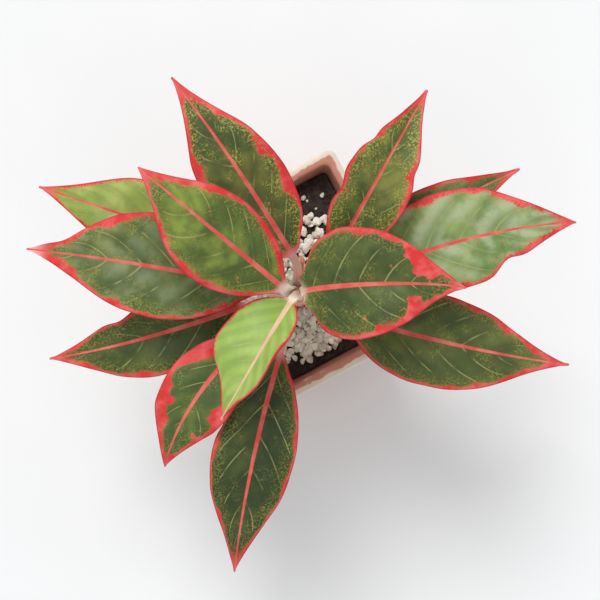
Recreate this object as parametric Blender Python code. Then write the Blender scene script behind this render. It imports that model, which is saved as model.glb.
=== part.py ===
"""Potted Chinese evergreen: a red-edged foliage plant in a square terracotta pot.

Metres, +Z up. The origin is the middle of the pot's flat underside, and the pot's sides
face +X, +Y, -X and -Y. Places on the plant are given as reach, bearing and height: reach
and bearing are measured in plan from the stem's axis, height from the pot's underside.
"""

import math
import random
from typing import NamedTuple

import bmesh
import bpy
import numpy as np
from mathutils import Matrix, Vector

MM = 0.001
GAP = 0.0003  # clearance between pieces that touch

# Pot: half widths are measured from the middle to the flat of a side.
POT_HEIGHT = 0.115
RIM_HALF = 0.065
RIM_BAND_HEIGHT = 0.024
RIM_BAND_STEP = 0.0045
FOOT_HALF = 0.046
WALL = 0.0075
FLOOR_THICKNESS = 0.009
CORNER_RADIUS = 0.007
CORNER_STEPS = 4
EDGE_ROUND = 0.0016
MOUTH_BEVEL_WIDTH = 0.0030
MOUTH_BEVEL_DROP = 0.0034
DRAIN_RADIUS = 0.0048
DRAIN_OFFSET = 0.022  # of each drain hole from the middle, along X and along Y

# Growing medium and top dressing
SOIL_TOP = 0.0987
BED_BOTTOM = SOIL_TOP + GAP
BED_REACH = 0.043
BED_PEBBLE = 0.0030
BED_WALL_CLEAR = 0.004
LOOSE_PEBBLES = 18
SEED = 11

# Plant
AXIS_X, AXIS_Y = 0.001, -0.009  # the stem's axis in plan
STEM_FOOT = 0.066  # the stem's lowest point, in the soil
STEM_TOP = 0.152
STEM_RADIUS_LOW, STEM_RADIUS_HIGH = 0.0068, 0.0048
ROOT_COUNT = 5
ROOT_LENGTH = 0.034
ROOT_RADIUS = 0.0022
PETIOLE_HALF = 0.0019
PETIOLE_THICK = 0.0034
SHEATH_HALF = 0.0034
SHEATH_CLEAR = 0.0004
CHANNEL_RADIUS = 0.005  # of the shallow channel along a stalk's inner face
BLADE_THICK = 0.0010
RIB_HALF = 0.0017
FULLNESS = 2.2  # higher makes a blade more pointed at both ends
PETIOLE_STATIONS = 4
BLADE_STATIONS = 12
BLADE_COLUMNS = (-1.0, -0.6, -0.3, 0.0, 0.3, 0.6, 1.0)


class Leaf(NamedTuple):
    """One leaf. Lengths are in millimetres and angles in degrees.

    stem_height is where the stalk leaves the stem; the youngest leaf has None and stands
    on the stem's tip. side is the bearing it leaves on, the blade's own if not given.
    base and tip are (reach, bearing, height) of the blade's two ends on the midrib.
    rise and droop are the midrib's slopes at those ends, bow its bend in plan (positive
    bows left, seen from the base). halves are the widest half widths left and right of
    the midrib, reached at peak, a share of the blade's length. roll turns the blade about
    the midrib (positive lifts the left half).
    """

    name: str
    stem_height: float | None
    base: tuple
    tip: tuple
    rise: float
    droop: float
    halves: tuple
    bow: float = 0.0
    roll: float = 0.0
    fold: float = 15.0
    curl: float = 26.0
    wave: float = 1.4
    waves: float = 2.3
    phase: float = 0.0
    peak: float = 0.46
    side: float | None = None


# Listed upwards along the stem: the outer, oldest leaves first and the youngest last.
LEAVES = (
    Leaf("leaf_01", 107, (32, 161, 165), (157, 166, 150), 26, 26, (24, 19), bow=6),
    Leaf("leaf_02", 110, (30, 311, 168), (171, 318, 152), 26, 28, (27, 28), bow=-5, peak=0.41),
    Leaf("leaf_03", 109, (35, 225, 166), (174, 229, 145), 26, 34, (24, 25), bow=-5),
    Leaf("leaf_04", 114, (34, 111, 168), (169, 129, 168), 28, 26, (24, 25)),
    Leaf("leaf_05", 112, (38, 14, 172), (151, 2, 182), 30, 24, (15, 18), fold=28),
    Leaf("leaf_06", 117, (38, 194, 176), (130, 204, 165), 26, 42, (22, 22), bow=-20),
    Leaf("leaf_07", 125, (22, 138, 182), (162, 142, 185), 26, 22, (29, 31), bow=-3),
    Leaf("leaf_08", 122, (29, 348, 184), (168, 347, 192), 28, 22, (30, 27), bow=11, peak=0.50),
    Leaf("leaf_09", 123, (24, 69, 190), (144, 92, 212), 28, 12, (25, 23), bow=-3),
    Leaf("leaf_10", 134, (29, 19, 190), (138, 30, 215), 30, 16, (20, 23), fold=34),
    Leaf("leaf_11", 143, (5, 15, 200), (96, 335, 212), 50, 40, (32, 30), bow=10, peak=0.41, side=330),
    Leaf("leaf_12", 144, (10, 121, 200), (114, 113, 232), 36, 10, (28, 23), peak=0.52),
    Leaf("leaf_13", None, (4, 181, 196), (83, 210, 205), 38, 30, (26, 28), fold=30, roll=40),
)


def clear_scene():
    for item in list(bpy.data.objects):
        bpy.data.objects.remove(item, do_unlink=True)


def material(name, colour, roughness, metallic=0.0):
    made = bpy.data.materials.new(name)
    made.use_nodes = True
    shader = made.node_tree.nodes["Principled BSDF"]
    shader.inputs["Base Color"].default_value = (*colour, 1.0)
    shader.inputs["Roughness"].default_value = roughness
    shader.inputs["Metallic"].default_value = metallic
    return made


def add_object(name, mesh, finish=None):
    made = bpy.data.objects.new(name, mesh)
    bpy.context.scene.collection.objects.link(made)
    if finish is not None:
        mesh.materials.append(finish)
    return made


def mesh_from(build):
    """The mesh that build(bm) leaves in an empty bmesh, with its faces pointing out."""
    bm = bmesh.new()
    build(bm)
    bmesh.ops.recalc_face_normals(bm, faces=bm.faces)
    mesh = bpy.data.meshes.new("shape")
    bm.to_mesh(mesh)
    bm.free()
    return mesh


def as_helper(item):
    """Keeps a cutter or a union's operand out of the build and the render."""
    item.hide_render = True
    item.display_type = "WIRE"
    return item


def add_boolean(item, operation, other):
    step = item.modifiers.new(operation.lower(), "BOOLEAN")
    step.operation = operation
    step.solver = "EXACT"
    step.object = other


def add_loft(bm, rings):
    """Skins a list of rings of points, each with the same count, and caps both ends."""
    made = [[bm.verts.new(point) for point in ring] for ring in rings]
    count = len(made[0])
    for low, high in zip(made, made[1:]):
        for i in range(count):
            j = (i + 1) % count
            bm.faces.new((low[i], low[j], high[j], high[i]))
    bm.faces.new(list(reversed(made[0])))
    bm.faces.new(made[-1])


# ---------------------------------------------------------------- pot


def rounded_square(half, radius, z):
    """A level ring of points round a square with arcs at its corners."""
    points = []
    for corner in range(4):
        middle = math.radians(45 + 90 * corner)
        centre = (half - radius) * math.sqrt(2)
        for step in range(CORNER_STEPS + 1):
            turn = middle + math.radians(90 * step / CORNER_STEPS - 45)
            points.append(
                (
                    centre * math.cos(middle) + radius * math.cos(turn),
                    centre * math.sin(middle) + radius * math.sin(turn),
                    z,
                )
            )
    return points


def inner_half(z):
    """Half width of the pot's cavity at a height."""
    mouth, floor = RIM_HALF - WALL - 0.0015, FOOT_HALF - WALL + 0.002
    share = (z - FLOOR_THICKNESS) / (POT_HEIGHT - FLOOR_THICKNESS)
    return floor + (mouth - floor) * share


def pot_profile():
    """(half width, height, corner radius) from the underside, over the rim, to the floor."""
    band_low = POT_HEIGHT - RIM_BAND_HEIGHT
    under_band = RIM_HALF - RIM_BAND_STEP
    mouth_z = POT_HEIGHT - MOUTH_BEVEL_DROP
    mouth = inner_half(mouth_z)
    inside_radius = CORNER_RADIUS * 0.8
    return (
        (FOOT_HALF - EDGE_ROUND, 0.0, CORNER_RADIUS - EDGE_ROUND),
        (FOOT_HALF, EDGE_ROUND, CORNER_RADIUS),
        (under_band - 0.0008, band_low - EDGE_ROUND, CORNER_RADIUS),
        (under_band + EDGE_ROUND, band_low, CORNER_RADIUS),
        (RIM_HALF - EDGE_ROUND, band_low + 0.0006, CORNER_RADIUS),
        (RIM_HALF - 0.0006, band_low + EDGE_ROUND * 1.4, CORNER_RADIUS),
        (RIM_HALF, POT_HEIGHT - 0.0026, CORNER_RADIUS),
        (RIM_HALF - 0.0011, POT_HEIGHT - 0.0008, CORNER_RADIUS),
        (RIM_HALF - 0.0030, POT_HEIGHT, CORNER_RADIUS - 0.001),
        (mouth + MOUTH_BEVEL_WIDTH, POT_HEIGHT - 0.0006, inside_radius),
        (mouth, mouth_z, inside_radius),
        (inner_half(FLOOR_THICKNESS + 0.006), FLOOR_THICKNESS + 0.006, inside_radius),
        (inner_half(FLOOR_THICKNESS) - 0.004, FLOOR_THICKNESS, inside_radius),
    )


def make_pot(finish):
    def build(bm):
        add_loft(bm, [rounded_square(half, radius, z) for half, z, radius in pot_profile()])

    pot = add_object("pot", mesh_from(build), finish)
    for sign_x in (-1, 1):
        for sign_y in (-1, 1):
            place_in_plan = Vector((sign_x * DRAIN_OFFSET, sign_y * DRAIN_OFFSET, 0))
            add_boolean(pot, "DIFFERENCE", as_helper(make_drain_cutter(place_in_plan)))
    return pot


def make_drain_cutter(place_in_plan):
    def build(bm):
        bmesh.ops.create_cone(
            bm,
            cap_ends=True,
            segments=16,
            radius1=DRAIN_RADIUS,
            radius2=DRAIN_RADIUS,
            depth=4 * FLOOR_THICKNESS,
            matrix=Matrix.Translation(place_in_plan),
        )

    return add_object("drain_cutter", mesh_from(build))


# ---------------------------------------------------------------- stem, roots and soil


def tube_rings(path, radii, sides):
    """Rings of a tube along a path, each ring level across the path's own direction."""
    rings = []
    for index, (point, radius) in enumerate(zip(path, radii)):
        before = path[max(index - 1, 0)]
        after = path[min(index + 1, len(path) - 1)]
        along = (after - before).normalized()
        side = along.cross(Vector((0.0, 0.0, 1.0)))
        if side.length < 0.05:
            side = Vector((0.0, 1.0, 0.0))
        side.normalize()
        up = side.cross(along)
        ring = []
        for k in range(sides):
            turn = 2 * math.pi * k / sides
            ring.append(point + radius * (math.cos(turn) * side + math.sin(turn) * up))
        rings.append(ring)
    return rings


def stem_radius(z):
    share = min(max((z - SOIL_TOP) / (STEM_TOP - SOIL_TOP), 0.0), 1.0)
    return STEM_RADIUS_LOW + (STEM_RADIUS_HIGH - STEM_RADIUS_LOW) * share


def make_stem_shape(name, grow, finish=None):
    """The short cane with its domed top. grow widens it all over, for the soil's socket."""
    ring_count = 11
    path, radii = [], []
    for k in range(ring_count):
        z = STEM_FOOT + (STEM_TOP - 0.004 - STEM_FOOT) * k / (ring_count - 1)
        taper = min(1.0, 0.45 + (z - STEM_FOOT) / 0.022)
        path.append(Vector((AXIS_X, AXIS_Y, z)))
        radii.append(stem_radius(z) * taper + grow)
    path += [Vector((AXIS_X, AXIS_Y, STEM_TOP - 0.0012)), Vector((AXIS_X, AXIS_Y, STEM_TOP))]
    radii += [radii[-1] * 0.72, radii[-1] * 0.28]
    path[0] = path[0] - Vector((0, 0, grow))

    def build(bm):
        add_loft(bm, tube_rings(path, radii, 16))

    return add_object(name, mesh_from(build), finish)


def make_root_shape(index, grow):
    """One thick root that leaves the stem's foot sideways and turns down."""
    bearing = 2 * math.pi * (index + 0.3) / ROOT_COUNT
    out = Vector((math.cos(bearing), math.sin(bearing), 0.0))
    start = Vector((AXIS_X, AXIS_Y, STEM_FOOT + 0.010 + 0.003 * (index % 2)))
    path, radii = [], []
    steps = 6
    for k in range(steps + 1):
        share = k / steps
        fall = Vector((0, 0, -0.62 * ROOT_LENGTH * share**2))
        path.append(start + out * ROOT_LENGTH * share * (1 - 0.25 * share) + fall)
        radii.append(ROOT_RADIUS * (1 - 0.72 * share) + grow)
    path[-1] += (path[-1] - path[-2]).normalized() * grow

    def build(bm):
        add_loft(bm, tube_rings(path, radii, 8))

    return add_object(f"root_{index + 1}", mesh_from(build))


def make_stem(finish):
    stem = make_stem_shape("stem", 0.0, finish)
    for index in range(ROOT_COUNT):
        add_boolean(stem, "UNION", as_helper(make_root_shape(index, 0.0)))
    return stem


def make_soil(finish):
    """The root ball of potting mix, with a socket round the stem and its roots."""
    low, high = FLOOR_THICKNESS + GAP, SOIL_TOP
    radius = CORNER_RADIUS * 0.8
    levels = (low, FLOOR_THICKNESS + 0.006, high)
    halves = (inner_half(FLOOR_THICKNESS) - 0.004, inner_half(levels[1]), inner_half(high))

    def build(bm):
        rings = [rounded_square(half - GAP, radius, z) for half, z in zip(halves, levels)]
        add_loft(bm, rings)

    soil = add_object("soil", mesh_from(build), finish)
    add_boolean(soil, "DIFFERENCE", as_helper(make_stem_shape("stem_socket", GAP)))
    for index in range(ROOT_COUNT):
        add_boolean(soil, "DIFFERENCE", as_helper(make_root_shape(index, GAP)))
    return soil


# ---------------------------------------------------------------- gravel


def bed_edge(bearing):
    """How far the gravel bed reaches from the stem's axis, in a direction."""
    reach = BED_REACH * (1 + 0.07 * math.sin(3 * bearing + 0.6) + 0.04 * math.sin(7 * bearing))
    wall = inner_half(BED_BOTTOM) - BED_WALL_CLEAR
    for along, axis in ((math.cos(bearing), AXIS_X), (math.sin(bearing), AXIS_Y)):
        if abs(along) > 0.05:
            reach = min(reach, (wall - math.copysign(axis, axis * along)) / abs(along))
    return reach


def make_gravel_bed(finish):
    """The mound of pebbles round the stem as one lumpy layer, open for the stem."""
    spread = random.Random(SEED)
    spokes, rings = 56, 12
    inner = STEM_RADIUS_LOW + 0.0012
    lumps = []
    for _ in range(170):
        bearing = spread.uniform(0, 2 * math.pi)
        reach = math.sqrt(spread.random()) * BED_REACH
        lumps.append((reach * math.cos(bearing), reach * math.sin(bearing), spread.uniform(0.7, 1.2)))

    def top(x, y, share):
        height = 0.0012
        for lump_x, lump_y, size in lumps:
            radius = BED_PEBBLE * size
            off = math.hypot(x - lump_x, y - lump_y)
            if off < radius:
                height = max(height, 0.0012 + math.sqrt(radius**2 - off**2) * 0.8)
        return BED_BOTTOM + height + 0.0022 * (1 - share) ** 0.6

    def build(bm):
        upper, lower = [], []
        for ring in range(rings + 1):
            share = ring / rings
            high, low = [], []
            for spoke in range(spokes):
                bearing = 2 * math.pi * spoke / spokes
                reach = inner + (bed_edge(bearing) - inner) * share
                x, y = reach * math.cos(bearing), reach * math.sin(bearing)
                high.append(bm.verts.new((AXIS_X + x, AXIS_Y + y, top(x, y, share))))
                if ring in (0, rings):
                    low.append(bm.verts.new((AXIS_X + x, AXIS_Y + y, BED_BOTTOM)))
            upper.append(high)
            if low:
                lower.append(low)
        for i in range(spokes):
            j = (i + 1) % spokes
            for near, far in zip(upper, upper[1:]):
                bm.faces.new((near[i], far[i], far[j], near[j]))
            bm.faces.new((lower[0][i], lower[0][j], lower[1][j], lower[1][i]))
            bm.faces.new((upper[0][j], lower[0][j], lower[0][i], upper[0][i]))
            bm.faces.new((upper[-1][i], lower[1][i], lower[1][j], upper[-1][j]))

    return add_object("gravel_bed", mesh_from(build), finish)


def loose_places():
    """Plan places on the bare soil outside the bed, each clear of the others."""
    spread = random.Random(SEED + 1)
    places = []
    limit = inner_half(SOIL_TOP) - 0.0065
    while len(places) < LOOSE_PEBBLES:
        x, y = spread.uniform(-limit, limit), spread.uniform(-limit, limit)
        dx, dy = x - AXIS_X, y - AXIS_Y
        clear_of_bed = math.hypot(dx, dy) > bed_edge(math.atan2(dy, dx)) + 0.0048
        if clear_of_bed and all(math.hypot(x - u, y - v) > 0.0095 for u, v in places):
            places.append((x, y))
    return places


def make_loose_pebbles(finish):
    """Single stones that strayed on to the bare soil, each a rounded chip lying flat."""
    spread = random.Random(SEED + 2)
    for index, (x, y) in enumerate(loose_places()):
        size = Vector((spread.uniform(2.0, 3.6), spread.uniform(1.6, 2.6), spread.uniform(1.3, 1.9)))
        turn = spread.uniform(0, math.pi)

        def build(bm):
            bmesh.ops.create_icosphere(bm, subdivisions=1, radius=1.0)
            bmesh.ops.scale(bm, vec=size * MM, verts=bm.verts)
            lowest = min(vert.co.z for vert in bm.verts)
            bmesh.ops.rotate(bm, matrix=Matrix.Rotation(turn, 3, "Z"), verts=bm.verts)
            bmesh.ops.translate(bm, vec=(x, y, SOIL_TOP + GAP - lowest), verts=bm.verts)

        add_object(f"pebble_{index + 1:02d}", mesh_from(build), finish)


# ---------------------------------------------------------------- leaves


def place(reach, bearing, height):
    """A point from its reach (mm) and bearing (degrees) about the stem, and height (mm)."""
    turn = math.radians(bearing)
    return np.array(
        (
            AXIS_X + reach * MM * math.cos(turn),
            AXIS_Y + reach * MM * math.sin(turn),
            height * MM,
        )
    )


def direction(bearing, slope):
    """A unit vector from a bearing and a slope above level, both in degrees."""
    turn, lift = math.radians(bearing), math.radians(slope)
    level = math.cos(lift)
    return np.array((level * math.cos(turn), level * math.sin(turn), math.sin(lift)))


def bezier(ends, share):
    """Point and tangent of a cubic curve."""
    a, b, c, d = ends
    rest = 1 - share
    point = rest**3 * a + 3 * rest**2 * share * b + 3 * rest * share**2 * c + share**3 * d
    slope = rest**2 * (b - a) + 2 * rest * share * (c - b) + share**2 * (d - c)
    return point, slope / np.linalg.norm(slope)


def smooth(low, high, value):
    share = min(max((value - low) / (high - low), 0.0), 1.0)
    return share * share * (3 - 2 * share)


def midrib(leaf):
    """Control points of the blade's midrib."""
    start, end = place(*leaf.base), place(*leaf.tip)
    chord = end - start
    bearing = math.degrees(math.atan2(chord[1], chord[0]))
    reach = 0.36 * np.linalg.norm(chord)
    leave = direction(bearing + leaf.bow, leaf.rise)
    arrive = direction(bearing - leaf.bow, -leaf.droop)
    return start, start + reach * leave, end - reach * arrive, end


def side_bearing(leaf):
    return leaf.base[1] if leaf.side is None else leaf.side


def clasp_radius(leaf):
    """Radius of the stalk's inner face where it hugs the stem."""
    return stem_radius(leaf.stem_height * MM) + SHEATH_CLEAR


def petiole(leaf):
    """Control points of the leaf stalk, from the stem's skin to the blade's base."""
    end, after = midrib(leaf)[:2]
    bearing = side_bearing(leaf)
    if leaf.stem_height is None:
        start = place(-PETIOLE_THICK / MM / 2, bearing, STEM_TOP / MM + GAP / MM)
        lean = 0.0
    else:
        radius = clasp_radius(leaf) / MM
        start = place(radius, bearing, leaf.stem_height)
        lean = math.degrees(math.atan2(leaf.base[0] - radius, leaf.base[2] - leaf.stem_height))
    span = np.linalg.norm(end - start)
    leave = direction(bearing, 90 - min(max(0.8 * lean, 0), 60))
    arrive = (after - end) / np.linalg.norm(after - end)
    arrive = arrive + 1.1 * np.array((0.0, 0.0, 1.0))
    arrive = arrive / np.linalg.norm(arrive)
    return start, start + 0.4 * span * leave, end - 0.3 * span * arrive, end


def outline(share, peak):
    """The blade's half width along it, 1 at its widest: rounded base, drawn-out tip."""
    if share <= 0 or share >= 1:
        return 0.0
    rise = (share / peak) ** (FULLNESS * peak)
    fall = ((1 - share) / (1 - peak)) ** (FULLNESS * (1 - peak))
    return rise * fall * (1 - 0.30 * smooth(0.60, 0.95, share))


def leaf_section(leaf, share):
    """Frame and sizes of a cross-section. share runs from -1 at the stem, through 0 at
    the blade's base, to 1 at the tip."""
    if share < 0:
        point, along = bezier(petiole(leaf), share + 1)
        bearing = math.radians(side_bearing(leaf))
        heading = np.array((math.cos(bearing), math.sin(bearing), 0.0))
        blade_heading = midrib(leaf)[1] - midrib(leaf)[0]
        mix = smooth(-0.5, 0.0, share)
        heading = heading * (1 - mix) + mix * blade_heading / np.linalg.norm(blade_heading[:2])
    else:
        point, along = bezier(midrib(leaf), share)
        heading = along
    left = np.array((-heading[1], heading[0], 0.0))
    left -= along * (left @ along)
    left /= np.linalg.norm(left)
    up = np.cross(along, left)
    roll = math.radians(leaf.roll) * smooth(-0.15, 0.45, share)
    left, up = (
        left * math.cos(roll) + up * math.sin(roll),
        up * math.cos(roll) - left * math.sin(roll),
    )
    sheath = 0.0 if leaf.stem_height is None else 1 - smooth(-1.0, -0.62, share)
    stalk = PETIOLE_HALF + (SHEATH_HALF - PETIOLE_HALF) * sheath
    stalk *= 1 - 0.9 * smooth(0.0, 1.0, share)
    halves = [math.hypot(stalk, half * MM * outline(share, leaf.peak)) for half in leaf.halves]
    return point, left, up, halves, sheath


def leaf_point(leaf, share, across):
    """A point on the leaf's upper face. across runs from -1, right margin, to 1, left."""
    point, left, up, halves, sheath = leaf_section(leaf, share)
    half = halves[0] if across > 0 else halves[1]
    width = half * abs(across)
    tilt = math.radians(leaf.fold - leaf.curl * abs(across) / 2)
    blade_out, blade_up = width * math.cos(tilt), width * math.sin(tilt)
    bend = (1 - sheath) / CHANNEL_RADIUS
    if sheath > 0:
        bend += sheath / clasp_radius(leaf)
    stalk_out = math.sin(bend * width) / bend
    stalk_up = (1 - math.cos(bend * width)) / bend
    mix = smooth(-0.05, 0.12, share)
    out = stalk_out + (blade_out - stalk_out) * mix
    lift = stalk_up + (blade_up - stalk_up) * mix
    if share > 0:
        swing = 2 * math.pi * (leaf.waves * share + leaf.phase + (0.21 if across > 0 else 0))
        envelope = math.sin(math.pi * share) ** 0.7
        lift += leaf.wave * MM * abs(across) ** 1.6 * math.sin(swing) * envelope
    return point + math.copysign(out, across) * left + lift * up


def leaf_stations():
    """Shares along a leaf: the stalk's, then the blade's, closer together at its ends."""
    stalk = [-1 + k / PETIOLE_STATIONS for k in range(PETIOLE_STATIONS)]
    blade = []
    for k in range(BLADE_STATIONS + 1):
        even = k / BLADE_STATIONS
        eased = (1 - math.cos(math.pi * even)) / 2
        blade.append(0.45 * even + 0.55 * eased)
    blade[-1] = 0.995
    return stalk + blade


def column_across(leaf, share, column):
    """Where a column crosses a section: the inner ones keep to the midrib's edges."""
    if abs(column) != 0.3 or share <= 0:
        return column
    rib = min(0.3, RIB_HALF / max(leaf_section(leaf, share)[3]))
    return math.copysign(rib, column)


def rib_depth(share, across_column):
    """Thickness below a column: stout in the stalk, tapering along the midrib."""
    if across_column == 0.0:
        return PETIOLE_THICK * (1 - 0.62 * smooth(-0.2, 0.9, share))
    if share < 0:
        edge = 1.0 - 0.55 * (1 - smooth(-1.0, -0.62, share))
        return PETIOLE_THICK * (0.72 if abs(across_column) < 0.5 else 0.5) * edge
    return BLADE_THICK


def make_leaf(leaf, finish):
    stations = leaf_stations()
    bm = bmesh.new()
    bmesh.ops.create_grid(
        bm, x_segments=len(stations) - 1, y_segments=len(BLADE_COLUMNS) - 1, size=1.0
    )
    ordered = sorted(bm.verts, key=lambda vert: (round(vert.co.x, 4), round(vert.co.y, 4)))
    depths = {}
    for index, vert in enumerate(ordered):
        share = stations[index // len(BLADE_COLUMNS)]
        column = BLADE_COLUMNS[index % len(BLADE_COLUMNS)]
        vert.co = leaf_point(leaf, share, column_across(leaf, share, column))
        depths[vert] = rib_depth(share, column)
    bm.verts.index_update()
    weights = {vert.index: depth / PETIOLE_THICK for vert, depth in depths.items()}
    mesh = bpy.data.meshes.new(leaf.name)
    bm.to_mesh(mesh)
    bm.free()
    made = add_object(leaf.name, mesh, finish)
    group = made.vertex_groups.new(name="thickness")
    for index, weight in weights.items():
        group.add([index], weight, "REPLACE")
    shell = made.modifiers.new("thickness", "SOLIDIFY")
    shell.thickness = PETIOLE_THICK
    shell.offset = -1.0
    shell.vertex_group = group.name
    shell.thickness_vertex_group = 0.0
    return made


def make_petiole_stub(finish):
    """The stalk of an old leaf, cut short and healed to a rounded end."""
    bearing, slope = 58.0, 52.0
    start = Vector(place(stem_radius(0.108) / MM + 2.1, bearing, 109.0))
    along = Vector(direction(bearing, slope))
    length = 0.0255
    shares = (0.0, 0.35, 0.7, 0.9, 0.975, 1.0)
    radii = (0.0026, 0.0025, 0.0026, 0.0024, 0.0017, 0.0007)
    path = [start + along * length * share for share in shares]

    def build(bm):
        add_loft(bm, tube_rings(path, radii, 10))

    return add_object("petiole_stub", mesh_from(build), finish)


def main():
    clear_scene()
    terracotta = material("terracotta", (0.62, 0.33, 0.24), 0.85)
    earth = material("potting_mix", (0.035, 0.026, 0.022), 0.95)
    stone = material("white_gravel", (0.74, 0.72, 0.66), 0.8)
    leaf_green = material("leaf", (0.10, 0.20, 0.05), 0.42)
    stalk_pink = material("stalk", (0.85, 0.55, 0.50), 0.45)
    make_pot(terracotta)
    make_soil(earth)
    make_stem(stalk_pink)
    make_gravel_bed(stone)
    make_loose_pebbles(stone)
    make_petiole_stub(stalk_pink)
    for leaf in LEAVES:
        make_leaf(leaf, leaf_green)


main()
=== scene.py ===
"""Potted Chinese evergreen: leaves, stalks, gravel and a lime-washed terracotta pot, dressed for rendering.

Metres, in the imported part's frame: +Z up, origin in the middle of the pot's underside.
"""

import math
import random

import bpy
import numpy as np
from mathutils import Matrix, Vector, noise


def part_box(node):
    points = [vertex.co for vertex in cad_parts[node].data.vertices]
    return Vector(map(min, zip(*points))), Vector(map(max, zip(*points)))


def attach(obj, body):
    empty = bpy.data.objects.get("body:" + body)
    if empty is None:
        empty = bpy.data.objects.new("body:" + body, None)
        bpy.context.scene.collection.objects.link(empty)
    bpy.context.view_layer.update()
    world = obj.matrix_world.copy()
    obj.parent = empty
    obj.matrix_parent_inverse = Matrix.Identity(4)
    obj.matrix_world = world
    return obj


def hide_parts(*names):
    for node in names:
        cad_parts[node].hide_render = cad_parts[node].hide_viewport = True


MM = 0.001

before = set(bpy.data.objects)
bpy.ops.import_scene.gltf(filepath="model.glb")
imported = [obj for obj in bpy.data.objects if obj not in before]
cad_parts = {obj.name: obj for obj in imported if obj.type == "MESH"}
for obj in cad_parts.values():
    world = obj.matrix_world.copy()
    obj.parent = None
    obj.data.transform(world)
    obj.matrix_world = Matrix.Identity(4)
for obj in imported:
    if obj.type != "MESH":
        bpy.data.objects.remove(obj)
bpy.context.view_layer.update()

# ---------------------------------------------------------------- sizes taken from the part

RIM_HALF, _, POT_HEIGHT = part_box("pot")[1]
soil_low, soil_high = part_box("soil")
SOIL_HALF, _, SOIL_TOP = soil_high
STEM_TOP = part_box("stem")[1][2]
AXIS = (0.001, -0.009)  # the stem's axis in plan

# ---------------------------------------------------------------- sizes of its own

FOOT_HALF = 0.046
FLOOR_THICKNESS = 0.009
WALL = 0.0075
BAND_HEIGHT = 0.024
BAND_STEP = 0.0045
DRAIN_RADIUS, DRAIN_OFFSET = 0.0048, 0.022

STEM_FOOT_RADIUS, STEM_HEAD_RADIUS = 0.0068, 0.0048
SHEATH_GAP = 0.0004
PETIOLE_HALF = 0.0019
SHEATH_HALF = 0.0034
PETIOLE_THICK = 0.0034
BLADE_THICK = 0.0006
CHANNEL_RADIUS = 0.005  # of the groove along a stalk
RIB_HALF = 0.0019
LEAF_CURL = 26  # degrees that a blade bends down from its midrib to its margin
WAVE_HEIGHT, WAVES = 0.0015, 2.3
SIDE_VEINS = 7.0  # on each side of a blade

OLD_STALK_RADIUS, OLD_STALK_LENGTH = 0.0025, 0.0255
STRAY_STONES, CRUMBS = 95, 420

CAMERA_PLACE, CAMERA_TURN = (0.00123, -0.01126, 1.0), -28
SUN_BEARING, SUN_SLOPE = 80.0, 52.0


def linear(red, green, blue):
    """A colour given as red, green and blue from 0 to 255."""
    out = []
    for value in (red, green, blue):
        share = value / 255
        out.append(share / 12.92 if share <= 0.04045 else ((share + 0.055) / 1.055) ** 2.4)
    return (*out, 1.0)


def only(*objects):
    """Makes these objects the whole selection and the first of them active."""
    bpy.ops.object.select_all(action="DESELECT")
    for item in objects:
        item.select_set(True)
    bpy.context.view_layer.objects.active = objects[0]


def apply_all(item):
    """Applies every modifier."""
    only(item)
    for step in list(item.modifiers):
        bpy.ops.object.modifier_apply(modifier=step.name)


def finish_piece(item, finish, slot, *nodes):
    """Gives a piece its finish and its place in the frame."""
    item.data.materials.clear()
    item.data.materials.append(finish)
    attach(item, "root")
    if nodes:
        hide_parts(*nodes)


# ---------------------------------------------------------------- finishes


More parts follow.
